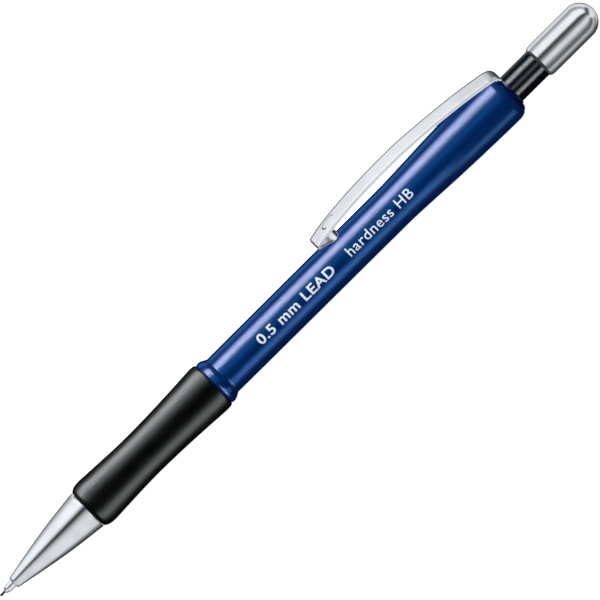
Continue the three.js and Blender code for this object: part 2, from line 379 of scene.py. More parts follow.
def clip_steel():
    """Bright satin strip, with painted shade in its base colour inside the fold at its free end, where it
    would mirror its own underside.
    """
    look = metal("clip_steel", (0.87, 0.87, 0.88), 0.24, LENGTHWISE, 0.0006, wear=0.94)
    shader = look.node_tree.nodes["Principled BSDF"]
    bright = shader.inputs["Base Color"].links[0].from_socket
    position = node(look, "ShaderNodeTexCoord").outputs["Object"]
    spot = node(look, "ShaderNodeSeparateXYZ", {"Vector": position}).outputs
    facing = node(look, "ShaderNodeNewGeometry").outputs["Normal"]
    normal = node(look, "ShaderNodeSeparateXYZ", {"Vector": facing}).outputs
    fold_end, fold_top, long_edge = place(83.2, 0, 0).x, place(0, 0, 5.35).z, place(0, -1.95, 0).y
    in_fold = between(look, spot["X"], 1, 0, fold_end, fold_end + 0.5 * MM)
    below_arm = between(look, spot["Z"], 1, 0, fold_top, fold_top + 0.15 * MM)
    near_edge = between(look, spot["Y"], 1, 0.2, long_edge, long_edge + 0.8 * MM)
    upward = between(look, normal["Z"], 0, 0.95, 0.6, 0.9)
    # painted shade: base colour darkened inside the fold, standing in for the strip's dark reflection of its
    # own underside
    painted_fold_shade = times(look, times(look, in_fold, below_arm), times(look, near_edge, upward))
    painted_shade_color = (0.02, 0.02, 0.025, 1)
    drive(look, shader, "Base Color", blended(look, painted_fold_shade, bright, painted_shade_color))
    return look


def plastic(name, color, roughness, depth=0.0006, **sockets):
    """Glossy moulded plastic: a faint flow pattern, fine rub marks and a softly uneven skin."""
    look, shader = new_look(name, color, roughness, **sockets)
    flow = grain(look, 0.09, (0.35, 1, 1), detail=3)
    rub = grain(look, 3.0, (0.15, 1, 1), detail=5, rough=0.7)
    skin = grain(look, 0.8, detail=2)
    darker = tuple(c * 0.88 for c in color)
    lighter = tuple(min(c * 1.08, 1) for c in color)
    drive(look, shader, "Base Color", ramp(look, flow, [(0.35, darker), (0.65, lighter)]))
    drive(look, shader, "Roughness", between(look, rub, roughness - 0.03, roughness + 0.05, 0.35, 0.75))
    bump(look, shader, skin, depth)
    return look


def grip_rubber():
    """Soft black rubber with fine pores and a little dust."""
    look, shader = new_look("grip_rubber", (0.006, 0.008, 0.008), 0.3, IOR=1.5)
    pores = grain(look, 9.0, detail=3, rough=0.6)
    dust = grain(look, 0.5, (0.5, 1, 1), detail=5, rough=0.6)
    tones = [(0.4, (0.004, 0.006, 0.006)), (0.75, (0.012, 0.014, 0.014))]
    drive(look, shader, "Base Color", ramp(look, dust, tones))
    drive(look, shader, "Roughness", between(look, dust, 0.27, 0.35))
    bump(look, shader, pores, 0.004)
    return look


def washer_rubber():
    """Dull black rubber."""
    look, shader = new_look("washer_rubber", (0.02, 0.02, 0.02), 0.6)
    pores = grain(look, 12.0, detail=3)
    drive(look, shader, "Roughness", between(look, pores, 0.52, 0.68))
    bump(look, shader, pores, 0.004)
    return look


def graphite():
    """Dark grey lead with a faint sheen on its flakes."""
    look, shader = new_look("graphite", (0.06, 0.06, 0.065), 0.42, Metallic=0.5)
    flakes = grain(look, 14.0, (0.4, 1, 1), detail=4, rough=0.7)
    tones = [(0.35, (0.035, 0.035, 0.04)), (0.7, (0.11, 0.11, 0.12))]
    drive(look, shader, "Base Color", ramp(look, flakes, tones))
    drive(look, shader, "Roughness", between(look, flakes, 0.5, 0.34))
    bump(look, shader, flakes, 0.003)
    return look


def eraser_vinyl():
    """White vinyl with crumbs and smudges of graphite."""
    soft = {"Subsurface_Weight": 0.15, "Subsurface_Scale": 0.4 * MM}
    look, shader = new_look("eraser_vinyl", (0.8, 0.79, 0.76), 0.62, **soft)
    crumbs = grain(look, 7.0, detail=4, rough=0.65)
    smudge = grain(look, 0.7, detail=5, rough=0.6, distortion=0.6)
    tones = [(0.38, (0.55, 0.54, 0.53)), (0.5, (0.78, 0.77, 0.74)), (0.7, (0.84, 0.83, 0.8))]
    drive(look, shader, "Base Color", ramp(look, smudge, tones))
    drive(look, shader, "Roughness", between(look, crumbs, 0.55, 0.72))
    bump(look, shader, crumbs, 0.01)
    return look


def print_ink():
    """White pad-printed ink."""
    look, shader = new_look("print_white", (0.78, 0.86, 0.97), 0.35)
    speckle = grain(look, 9.0, detail=3)
    tones = [(0.3, (0.7, 0.79, 0.92)), (0.5, (0.8, 0.88, 0.98))]
    drive(look, shader, "Base Color", ramp(look, speckle, tones))
    drive(look, shader, "Roughness", between(look, speckle, 0.3, 0.42))
    bump(look, shader, speckle, 0.002)
    return look


RINGS = (22.0, 0.05, 0.05)
LENGTHWISE = (0.35, 16.0, 16.0)

looks = {
    "graphite": graphite(),
    "polished_steel": metal("polished_steel", (0.86, 0.87, 0.89), 0.14, RINGS, 0.0004),
    "satin_metal": metal("satin_metal", (0.84, 0.85, 0.87), 0.13, RINGS, 0.0004, spread=0.03),
    "cap_metal": metal("cap_metal", (0.86, 0.87, 0.89), 0.09, RINGS, 0.0002, spread=0.02),
    "clip_steel": clip_steel(),
    "spring_steel": metal("spring_steel", (0.6, 0.61, 0.63), 0.25, (6, 6, 6), 0.0005),
    "brass": metal("brass", (0.78, 0.56, 0.25), 0.22, RINGS, 0.0006),
    "grip_rubber": grip_rubber(),
    "washer_rubber": washer_rubber(),
    "blue_plastic": plastic("blue_plastic", (0.0003, 0.034, 0.182), 0.18),
    "dark_blue_plastic": plastic("dark_blue_plastic", (0.001, 0.01, 0.09), 0.22),
    "black_plastic": plastic("black_plastic", (0.006, 0.008, 0.011), 0.14, 0.0003, IOR=1.75),
    "grey_plastic": plastic("grey_plastic", (0.42, 0.43, 0.45), 0.4),
    "eraser_vinyl": eraser_vinyl(),
    "print_white": print_ink(),
}


def settle(made, body, slot, *nodes):
    """Gives a piece its material, its body and its slot, and hides the CAD nodes that it stands for."""
    made.data.materials.clear()
    made.data.materials.append(looks[slot])
    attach(made, body)
    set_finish(made, slot)
    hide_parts(*nodes)
    return made


# ---------------------------------------------------------------- nose

def lead():
    outline = [(0, 0), (0, LEAD_R, 0.07), (rear("lead"), LEAD_R, 0.02), (rear("lead"), 0)]
    return settle(turned("lead_fine", outline, SMALL_SEGMENTS), "lead", "graphite", "lead")


def guide_sleeve():
    shank_r, flange_r = 0.8, 1.35
    flange = NOSE_CHAMBER + 0.1
    tip = front("guide_sleeve")
    end = rear("guide_sleeve")
    bore = LEAD_R + 0.03
    outline = [
        *curve([(tip, 0.4), (1.35, 0.57), (1.8, 0.71), (2.4, shank_r)], 18),
        (flange, shank_r), (flange, flange_r, 0.08), (end, flange_r, 0.08),
        (end, bore, 0.1), (tip, bore, 0.04),
    ]
    made = turned("guide_sleeve_fine", outline, SMALL_SEGMENTS)
    return settle(made, "guide_sleeve", "polished_steel", "guide_sleeve")


def lead_retainer():
    x0, x1 = front("lead_retainer"), rear("lead_retainer")
    outer, bore = 1.35, LEAD_R + FIT
    outline = [(x0, outer, 0.15), (x1, outer, 0.15), (x1, bore, 0.08), (x0, bore, 0.08)]
    made = turned("lead_retainer_fine", outline, SMALL_SEGMENTS)
    return settle(made, "lead_brake", "washer_rubber", "lead_retainer")


def nose_cone():
    x0, x1 = front("nose_cone"), rear("nose_cone")
    mouth_r, chuck_room, thread_r = 0.84, 1.4, 3.0
    outline = [
        *arc(x0 + 0.15, 0.99, 0.15, 0.15, 180, 100, 8),
        *curve([(x0 + 0.16, 1.16), (NOSE_CHAMBER, 2.06), (14, 3.1), (x1 - 0.12, 3.95)], 40),
        (x1, 3.94, 0.05), (x1, thread_r, 0.1), (NOSE_STOP, thread_r), (NOSE_STOP, chuck_room, 0.1),
        (NOSE_CHAMBER, chuck_room), (NOSE_CHAMBER, mouth_r), (x0, mouth_r, 0.05),
    ]
    return settle(turned("nose_cone_fine", outline), "nose", "satin_metal", "nose_cone")


# ---------------------------------------------------------------- front body, grip and barrel

def front_body():
    thread_start, thread_end, runout = 17.2, 20.6, 0.4
    root_r, crest = 2.62, 0.3
    shoulder = front("rubber_grip") - FIT
    chuck_bore, magazine_bore = 2.05, 2.3
    spigot_end = rear("front_body")
    neck_r = 3.87
    neck_end = BARREL_FRONT - 0.01

    def thread(x, r, angle):
        """Radius on the screw: trapezoid ridges that run out at both of its ends."""
        first = thread_start + 0.2
        if r != root_r or not first < x < thread_end:
            return r
        phase = (x - thread_start) / PITCH + angle / (2 * math.pi)
        ridge = max(0.0, 1 - abs((phase % 1) - 0.5) / 0.4)
        share = min(1.0, (x - first) / runout, (thread_end - x) / runout)
        return r + crest * min(1.0, 1.25 * ridge) * share

    steps = 48
    screw = [(thread_start + (shoulder - thread_start) * i / steps, root_r) for i in range(1, steps)]
    ring = [
        (51.53, 4.37), (51.75, 4.48), (52.1, 4.5), (52.55, 4.41), (52.95, 4.24), (53.3, 4.04),
        (53.6, neck_r),
    ]
    outline = rounded([
        (thread_start, root_r, 0.12), *screw, (shoulder, root_r), (shoulder, CORE_R, 0.1),
        (RING_FRONT, CORE_R), (RING_FRONT, 4.3), *curve(ring, 36), (neck_end, neck_r, 0.02),
        (neck_end, CORE_R), (spigot_end, CORE_R, 0.15),
        (spigot_end, magazine_bore, 0.1), (MAGAZINE_FRONT, magazine_bore), (MAGAZINE_FRONT, chuck_bore),
        (thread_start, chuck_bore, 0.1),
    ])
    made = finished("front_body_fine", turned_mesh(outline, SEGMENTS, thread))
    return settle(made, "barrel", "blue_plastic", "front_body")


def rubber_grip():
    x0, x1 = front("rubber_grip"), rear("rubber_grip")
    bore = CORE_R + FIT
    waist = [(23.4, 4.57), (27, 4.39), (33, 4.17), (39, 4.23), (45, 4.48), (49.6, 4.74), (50.4, BODY_R)]
    outline = [
        (x0, 3.84, 0.05), (x0 + 0.15, 4.0),
        *arc(23.4, 3.98, 2.0, 0.59, 160, 106, 12),
        *curve(waist, 60),
        *arc(x1 - 0.85, 4.29, 0.89, 0.46, 68, 0, 14),
        (x1 + 0.04, bore), (x0, bore),
    ]
    return settle(turned("rubber_grip_fine", outline), "barrel", "grip_rubber", "rubber_grip")


def straight_radius(x):
    """Outer radius of the barrel's front half, which widens only a little."""
    widening, length = 0.04, 38
    return BARREL_R + widening * (x - BARREL_FRONT) / length


FLARE_START = 92
FLARE = curve([
    (FLARE_START, straight_radius(FLARE_START)), (96, 3.97), (101, 4.17), (106.4, 4.42), (112, 4.6),
    (117, 4.71), (120.2, BODY_R),
], 48)
END_START, LIP_R = 120.8, 3.1
END_ROUND = arc(END_START, LIP_R, BARREL_REAR - END_START, BODY_R - LIP_R, 88, 8, 32)
BUSH_EDGE = 122.35
FLANGE_R = 4.1


def barrel_radius(x):
    """Outer radius of the barrel at a station in front of its rounded end."""
    for (x0, r0), (x1, r1) in zip(FLARE, FLARE[1:]):
        if x0 <= x <= x1:
            return r0 + (r1 - r0) * (x - x0) / (x1 - x0)
    return straight_radius(x)


def tongue_slot(start, end, floor_z):
    """Box from station start to station end that the clip's tongue passes through."""
    half = TONGUE_WIDTH / 2 + FIT
    top = TONGUE_Z + CLIP_THICK + FIT
    return (start, -half, floor_z), (end, half, top), 0


def barrel():
    bush_bore = 3.55
    bush_seat = 117.9
    end = BUSH_EDGE - 0.03
    outline = [
        (BARREL_FRONT, BARREL_R - 0.02, 0.02),
        *[(x, straight_radius(x)) for x in range(60, FLARE_START, 8)],
        *FLARE,
        *[(x, r) for x, r in END_ROUND if x < BUSH_EDGE - 0.06],
        (end, FLANGE_R), (end, bush_bore), (bush_seat, bush_bore), (bush_seat, BARREL_BORE_R),
        (BARREL_FRONT, BARREL_BORE_R, 0.05),
    ]
    made = turned("barrel_fine", outline)
    cut(made, [tongue_slot(front("clip_tongue") - 0.1, BARREL_REAR + 1, 3.0)])
    return settle(made, "barrel", "blue_plastic", "barrel")


def rear_bush():
    """Bush in the barrel's end, with a flange that continues the barrel's rounding and a low lip."""
    x0, x1 = front("rear_bush"), rear("rear_bush")
    outer, bore = 3.5, BUTTON_R + 0.08
    outline = [
        (x0, outer, 0.05), (BUSH_EDGE, outer), (BUSH_EDGE, FLANGE_R),
        *[(x, r) for x, r in END_ROUND if x > BUSH_EDGE + 0.03],
        (BARREL_REAR, LIP_R), (x1, LIP_R, 0.08), (x1, bore, 0.05), (x0, bore, 0.05),
    ]
    made = turned("rear_bush_fine", outline)
    cut(made, [tongue_slot(BUSH_EDGE - 1, x1 + 1, 3.3)])
    return settle(made, "barrel", "dark_blue_plastic", "rear_bush")


def marking():
    """Lead size and grade printed along the barrel, as a thin skin wrapped round it."""
    height = 0.004
    skin = 0.012
    facing = math.radians(25.5)
    rows = 16
    mesh = bmesh.new()
    size_print = ("0.5 mm LEAD", 62.0, 2.55, 1.155, 0.055)
    grade_print = ("hardness HB", 83.4, 2.65, 1.045, 0.018)
    for text, start, size, widening, weight in (size_print, grade_print):
        letters = bpy.data.curves.new("letters", "FONT")
        letters.body = text
        letters.size = size
        letters.offset = weight
        letters.space_character = 1.08
        letters.align_y = "CENTER"
        letters.extrude = skin / 2
        letters.resolution_u = 6
        sheet = bpy.data.objects.new("letters", letters)
        bpy.context.scene.collection.objects.link(sheet)
        bpy.context.view_layer.update()
        flat = sheet.evaluated_get(bpy.context.evaluated_depsgraph_get()).to_mesh()
        flat.transform(Matrix.Translation((start, 0, 0)) @ Matrix.Diagonal((widening, 1, 1, 1)))
        mesh.from_mesh(flat)
        bpy.data.objects.remove(sheet)
    lowest = min(v.co.y for v in mesh.verts)
    highest = max(v.co.y for v in mesh.verts)
    for i in range(1, rows):
        level = lowest + (highest - lowest) * i / rows
        parts = mesh.verts[:] + mesh.edges[:] + mesh.faces[:]
        bmesh.ops.bisect_plane(mesh, geom=parts, plane_co=(0, level, 0), plane_no=(0, 1, 0))
    for vertex in mesh.verts:
        x, along, up = vertex.co
        radius = barrel_radius(x) + height + skin / 2 + up
        angle = facing + along / barrel_radius(x)
        vertex.co = place(x, -radius * math.cos(angle), radius * math.sin(angle))
    return settle(finished("barrel_marking", mesh), "barrel", "print_white")


# ---------------------------------------------------------------- clip

def clip_face():
    """Outer face of the clip's strip as (x, z): tongue, leg, bend, arm, fold and foot."""
    tongue = front("clip_tongue")
    leg = rear("clip_tongue") - 0.13
    return [
        (tongue, TONGUE_Z),
        *arc(leg - 0.2, TONGUE_Z + 0.2, 0.2, 0.2, -90, 0, 8),
        *curve([(leg, 3.8), (123.2, 4.12), (122.93, 4.58), (122.35, 5.0), (121.4, 5.36)], 24)[1:],
        *curve([(121.4, 5.36), (116, 6.29), (110, 7.02), (104.7, 7.51), (101.5, 7.69)], 40)[1:],
        *curve([(97.5, 7.69), (94.4, 7.62), (89.3, 7.33), (84.1, 6.74), (80.66, 6.0)], 40),
        *arc(80.78, 5.62, 0.4, 0.38, 102, 240, 14),
        *curve([(80.72, 5.25), (81.4, 5.06), (82.2, 4.84), (82.7, 4.63), (83.15, 4.42)], 16),
        *arc(83.65, 5.12, 1.15, 0.75, -114, -4, 18),
        (84.86, 5.5), (84.88, 5.8),
    ]


def resampled(points, spacing):
    """Points at an even spacing along a polyline."""
    knots = [Vector(p) for p in points]
    total = sum((b - a).length for a, b in zip(knots, knots[1:]))
    count = round(total / spacing)
    done = []
    index, passed = 0, 0.0
    for i in range(count + 1):
        wanted = total * i / count
        while index < len(knots) - 2 and passed + (knots[index + 1] - knots[index]).length < wanted:
            passed += (knots[index + 1] - knots[index]).length
            index += 1
        step = knots[index + 1] - knots[index]
        done.append(knots[index] + step * min(1.0, (wanted - passed) / step.length))
    return done


def smooth(low, high, value):
    """Soft step from 0 at low to 1 at high."""
    t = min(1.0, max(0.0, (value - low) / (high - low)))
    return t * t * (3 - 2 * t)


def pill(x, y):
    """Height of the plain raised pill near the clip's free end."""
    start, end, radius, slope, height = 84.3, 85.5, 0.95, 0.22, 0.12
    nearest = min(max(x, start), end)
    return height * (1 - smooth(radius - slope, radius, math.hypot(x - nearest, y)))


def crown(y):
    """Fall of the strip's outer face towards its long edges, which are bevelled a little."""
    bevel, slope, soft = 0.8, 0.15, 0.1
    inward = max(0.0, abs(y) - CLIP_WIDTH / 2 + bevel)
    return slope * inward * inward / (inward + soft)


def clip_width(x, on_tongue):
    """Width of the strip, which is narrower on its tongue."""
    leg_start, leg_full = 123.0, 123.25
    if on_tongue:
        return TONGUE_WIDTH + (CLIP_WIDTH - TONGUE_WIDTH) * smooth(leg_start, leg_full, x)
    return CLIP_WIDTH


def clip_thickness(x, z, rear_half, on_foot):
    """Thickness of the strip, which grows after the bend and thins out again towards the fold."""
    bend_low, bend_high = 4.7, 5.4
    fold_start, arm_full = 81.0, 84.0
    if rear_half:
        return CLIP_THICK + (ARM_THICK - CLIP_THICK) * smooth(bend_low, bend_high, z)
    if on_foot:
        return FOLD_THICK
    return FOLD_THICK + (ARM_THICK - FOLD_THICK) * smooth(fold_start, arm_full, x)


def clip():
    """The whole clip as one strip, swept along its outer face from the tongue's end to the foot's."""
    across, spacing = 42, 0.13
    points = resampled(clip_face(), spacing)
    last = len(points) - 1
    sections = []
    for i, here in enumerate(points):
        heading = (points[min(i + 1, last)] - points[max(i - 1, 0)]).normalized()
        outward = Vector((heading.y, -heading.x))
        rear_half = i < len(points) / 2
        on_tongue = rear_half and here.y < TONGUE_Z + 0.2
        on_foot = not rear_half and heading.x > -0.9
        inset = 0.05 if i in (0, last) else 0.0
        corner = 0.035 if on_foot else 0.07
        half = clip_width(here.x, on_tongue) / 2 - inset
        depth = clip_thickness(here.x, here.y, rear_half, on_foot) - 2 * inset
        loop = []
        for k in range(across + 1):
            y = (half - corner) * (1 - 2 * k / across)
            rise = pill(here.x, y) if heading.x < -0.8 else 0.0
            loop.append((y, rise - crown(y) - inset))
        edge = crown(half - corner) + corner + inset
        under = corner - depth - inset
        loop += arc(-half + corner, -edge, corner, corner, 90, 180, 4)[1:]
        loop += arc(-half + corner, under, corner, corner, 180, 270, 5)
        loop += arc(half - corner, under, corner, corner, 270, 360, 5)
        loop += arc(half - corner, -edge, corner, corner, 0, 90, 4)[:-1]
        sections.append([
            (here.x + outward.x * d, y, here.y + outward.y * d) for y, d in loop
        ])
    made = finished("clip", swept_mesh(sections))
    made.data.materials.append(looks["clip_steel"])
    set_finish(made, "clip_steel")
    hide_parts("clip_arm", "clip_tongue")
    made.visible_glossy = False
    made.visible_diffuse = False
    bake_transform(made)
    return made


# ---------------------------------------------------------------- mechanism

def clutch_sleeve():
    x0, x1 = front("clutch_sleeve"), rear("clutch_sleeve")
    seat = 20.9
    outer, ring_room, shank_hole = 2.0, 1.82, 1.15
    outline = [
        (x0, outer, 0.05), (x1, outer, 0.1), (x1, shank_hole, 0.1), (seat, shank_hole),
        (seat, ring_room), (x0, ring_room, 0.05),
    ]
    made = turned("clutch_sleeve_fine", outline, SMALL_SEGMENTS)
    return settle(made, "barrel", "brass", "clutch_sleeve")


def chuck():
    x0, x1 = front("chuck"), rear("chuck")
    head_start, head_end, shank_start, feed_end = 18.3, 18.9, 20.7, 22
    nose_r, head_r, shank_r, feed_r, bore = 0.75, 1.25, 0.95, 0.55, LEAD_R + FIT
    outline = [
        (x0, nose_r, 0.05), (head_start, head_r, 0.15), (head_end, head_r, 0.1),
        (shank_start, shank_r, 0.5), (x1, shank_r, 0.08),
        (x1, feed_r, 0.05), (feed_end, feed_r), (feed_end - 0.4, bore), (x0, bore, 0.05),
    ]
    made = turned("chuck_fine", outline, SMALL_SEGMENTS)
    slit_end, half_slit = 28.0, 0.1
    jaws = 3
    low, high = (x0 - 1, -half_slit, 0.0), (slit_end, half_slit, 2.0)
    cut(made, [(low, high, 360 * i / jaws) for i in range(jaws)])
    return settle(made, "propelling_unit", "brass", "chuck")


def chuck_ring():
    x0, x1 = front("chuck_ring"), rear("chuck_ring")
    outer, mouth_r, rear_r = 1.75, 1.4, 1.08
    outline = [(x0, outer, 0.12), (x1, outer, 0.12), (x1, rear_r, 0.05), (x0, mouth_r, 0.08)]
    made = turned("chuck_ring_fine", outline, SMALL_SEGMENTS)
    return settle(made, "chuck_ring", "brass", "chuck_ring")


def return_spring():
    """Compression spring with one closed coil at each end."""
    wire, radius = 0.17, 1.45
    x0, x1 = front("return_spring") + wire, rear("return_spring") - wire
    turns, closed_pitch = 7.0, 0.36
    open_turns = turns - 2
    per_turn, sides = 40, 14
    sections = []
    for i in range(round(turns * per_turn) + 1):
        turn = i / per_turn
        opened = min(max(turn - 1, 0), open_turns)
        closed = turn - opened
        x = x0 + closed * closed_pitch + opened * (x1 - x0 - 2 * closed_pitch) / open_turns
        angle = turn * 2 * math.pi
        out = Vector((0, math.cos(angle), math.sin(angle)))
        centre = out * radius + Vector((x, 0, 0))
        loop = []
        for k in range(sides):
            a = k / sides * 2 * math.pi
            loop.append(tuple(centre + out * wire * math.cos(a) + Vector((wire * math.sin(a), 0, 0))))
        sections.append(loop)
    made = finished("return_spring_fine", swept_mesh(sections))
    settle(made, "barrel", "spring_steel", "return_spring")
    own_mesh(made)
    return made


def lead_magazine():
    x0, x1 = front("lead_magazine"), rear("lead_magazine")
    bottom = 34.2
    outer, inner, shank_hole = 1.9, 1.5, 1.0
    outline = [
        (x0, outer, 0.1), (x1, outer, 0.08), (x1, inner, 0.08), (bottom, inner), (bottom, shank_hole),
        (x0, shank_hole, 0.1),
    ]
    made = turned("lead_magazine_fine", outline, SMALL_SEGMENTS)
    return settle(made, "propelling_unit", "grey_plastic", "lead_magazine")


def spare_lead(number):
    cad = f"spare_lead_{number}"
    low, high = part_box(cad)
    outline = [(front(cad), 0), (front(cad), LEAD_R, 0.03), (rear(cad), LEAD_R, 0.03), (rear(cad), 0)]
    mesh = turned_mesh(rounded(outline), 24)
    middle = (low + high) / 2
    bmesh.ops.translate(mesh, verts=mesh.verts, vec=(0, middle.y, middle.z - AXIS_Z))
    return settle(finished(f"{cad}_fine", mesh), "propelling_unit", "graphite", cad)


# ---------------------------------------------------------------- push button

def button_sleeve():
    x0, x1 = front("button_sleeve"), rear("button_sleeve")
    shoulder = front("button_cap") + 1
    bore, socket_r = 1.95, 2.35
    spigot_r = CAP_R - CAP_WALL - 0.08
    outline = [
        (x0, BUTTON_R, 0.1), (shoulder, BUTTON_R, 0.02), (shoulder, spigot_r), (x1, spigot_r, 0.15),
        (x1, socket_r, 0.1), (SOCKET_FRONT, socket_r), (SOCKET_FRONT, bore), (x0, bore, 0.1),
    ]
    made = turned("button_sleeve_fine", outline)
    return settle(made, "propelling_unit", "black_plastic", "button_sleeve")


def eraser():
    x0, x1 = front("eraser"), rear("eraser")
    radius = 2.3
    outline = [(x0, 0), (x0, radius, 0.1), (x1, radius, 0.45), (x1, 0)]
    return settle(turned("eraser_fine", outline), "eraser", "eraser_vinyl", "eraser")


def button_cap():
    x0 = front("button_cap")
    inner = CAP_R - CAP_WALL
    mouth = BUTTON_R + FIT
    rim = [(0.02, 2.92), (0.2, 3.06), (0.4, 3.16), (0.65, 3.23), (1.1, CAP_R)]
    outline = [
        (x0, mouth + 0.02),
        *curve([(x0 + depth, r) for depth, r in rim], 20),
        *arc(DOME_CENTRE, 0, CAP_R, CAP_R, 90, 2, 40),
        (LENGTH, 0), (LENGTH - CAP_WALL, 0),
        *arc(DOME_CENTRE, 0, inner, inner, 2, 90, 30),
        (x0 + 1.4, inner), (x0 + 1.1, mouth), (x0, mouth),
    ]
    return settle(turned("button_cap_fine", outline), "cap", "cap_metal", "button_cap")


lead()
guide_sleeve()
lead_retainer()
nose_cone()
front_body()
rubber_grip()
barrel()
rear_bush()
marking()
clip()
clutch_sleeve()
chuck()
chuck_ring()
return_spring()
lead_magazine()
for number in range(1, 6):
    spare_lead(number)
button_sleeve()
eraser()
button_cap()


# ---------------------------------------------------------------- stage

FLOOR_Z = AXIS_Z - BODY_R * MM
MIDDLE = place(LENGTH / 2, 0, 0)


def floor():
    """Plain pale floor, lit from within so that it stays almost shadowless."""
    mesh = bpy.data.meshes.new("floor")
    half = 3.5
    mesh.from_pydata(
        [(-half, -half, FLOOR_Z), (half, -half, FLOOR_Z), (half, half, FLOOR_Z), (-half, half, FLOOR_Z)],
        [], [(0, 1, 2, 3)],
    )
    made = bpy.data.objects.new("floor", mesh)
    bpy.context.scene.collection.objects.link(made)
    look, shader = new_look("pale_floor", (0.8, 0.8, 0.8), 0.9, Emission_Strength=1.0)
    shader.inputs["Emission Color"].default_value = (1, 1, 1, 1)
    shader.inputs["Specular IOR Level"].default_value = 0.0
    mesh.materials.append(look)
    made.visible_glossy = False
    made.visible_diffuse = False
    made.visible_shadow = False
    made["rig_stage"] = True
    return made


# Brightness of the soft boxes and black flags round the pencil, as the metals mirror them, by the angle
# round its axis in degrees: 0 is level in front of it, 90 straight up and 180 level behind it
SIDE_CARDS = [
    (-180, 0.05), (-107, 0.05), (-91, 0.09), (-76, 0.26), (-62, 0.5), (-50, 0.22), (-37, 0.1),
    (-23, 0.22), (-12, 0.44), (-1, 0.7), (12, 0.64), (21, 0.38), (30, 0.18), (38, 0.09),
    (46, 0.045), (54, 0.15), (62, 0.7), (70, 0.86), (97, 0.86), (108, 0.6), (118, 0.36),
    (127, 0.31), (135, 0.4), (144, 0.74), (164, 0.64), (178, 0.45),
]
FRONT_CARDS = [
    (-180, 0.05), (-115, 0.05), (-103, 0.065), (-90, 0.15), (-77, 0.38), (-64, 0.68), (-37, 0.74),
    (-1, 0.73), (10, 0.64), (22, 0.49), (30, 0.32), (37, 0.13), (44, 0.03), (51, 0.04), (58, 0.3),
    (64, 0.62), (72, 0.86), (82, 0.92), (117, 0.9), (131, 0.74), (145, 0.52), (164, 0.3),
    (180, 0.12),
]
CLIP_CARDS = [
    (-180, 0.06), (-150, 0.06), (-100, 0.08), (-65, 0.15), (-45, 0.72), (-28, 0.8), (-12, 0.5),
    (5, 0.08), (40, 0.08), (60, 0.5), (75, 0.9), (130, 0.95), (153, 0.9), (160, 0.5), (168, 0.12),
]
DOME_CARDS = [
    (-180, 0.6), (-120, 0.6), (-100, 0.35), (-76, 0.26), (-62, 0.5), (-50, 0.22), (-37, 0.1),
    (-23, 0.22), (-12, 0.44), (-1, 0.7), (12, 0.64), (21, 0.38), (30, 0.18), (38, 0.09),
    (46, 0.045), (54, 0.15), (62, 0.7), (70, 0.86), (97, 0.86), (108, 0.6), (118, 0.4), (127, 0.35),
    (135, 0.45), (144, 0.74), (164, 0.7), (178, 0.6),
]
# The same at an end, by the height above the horizon from -90 to 90 degrees
CAP_END_CARDS = [
    (-90, 0.7), (-25, 0.75), (-3, 0.7), (2, 0.35), (7, 0.1), (17, 0.1), (24, 0.3), (40, 0.7), (90, 0.85),
]
TIP_END_CARDS = [
    (-90, 0.1), (-50, 0.3), (-10, 0.65), (22, 0.6), (36, 0.3), (45, 0.05), (52, 0.2), (62, 0.8), (90, 0.85),
]
BLACK_CARDS = [(-90, 0.03), (90, 0.05)]
# How bright they are by the share of the mirrored direction that runs along the pencil, from -1 at the
# lead to 1 at the cap
NOSE_ALONG = [(-0.92, 0.05), (-0.84, 1.0), (1.0, 1.0)]
CAP_ALONG = [(-1.0, 1.0), (1.0, 1.0)]
CLIP_ALONG = [
    (-0.5, 0.1), (-0.39, 0.2), (-0.32, 0.95), (-0.25, 0.95), (-0.1, 0.88), (-0.02, 0.93),
    (0.06, 1.0), (0.11, 0.98), (0.16, 0.86), (0.24, 0.72), (0.31, 0.95), (0.36, 1.0), (0.395, 0.15),
    (0.43, 0.15), (0.46, 0.6),
]

CARD_STRENGTH = 1.15
CARD_TINT = (1.0, 1.03, 1.07)


def cards(look, turn, stops, lowest, highest):
    """Ramp over an angle in radians, with its stops in degrees."""
    share = node(look, "ShaderNodeMapRange", {
        "Value": turn, "From Min": math.radians(lowest), "From Max": math.radians(highest),
    })
    span = highest - lowest
    tones = [((degrees - lowest) / span, tuple(value * c for c in CARD_TINT)) for degrees, value in stops]
    return ramp(look, share.outputs["Result"], tones)


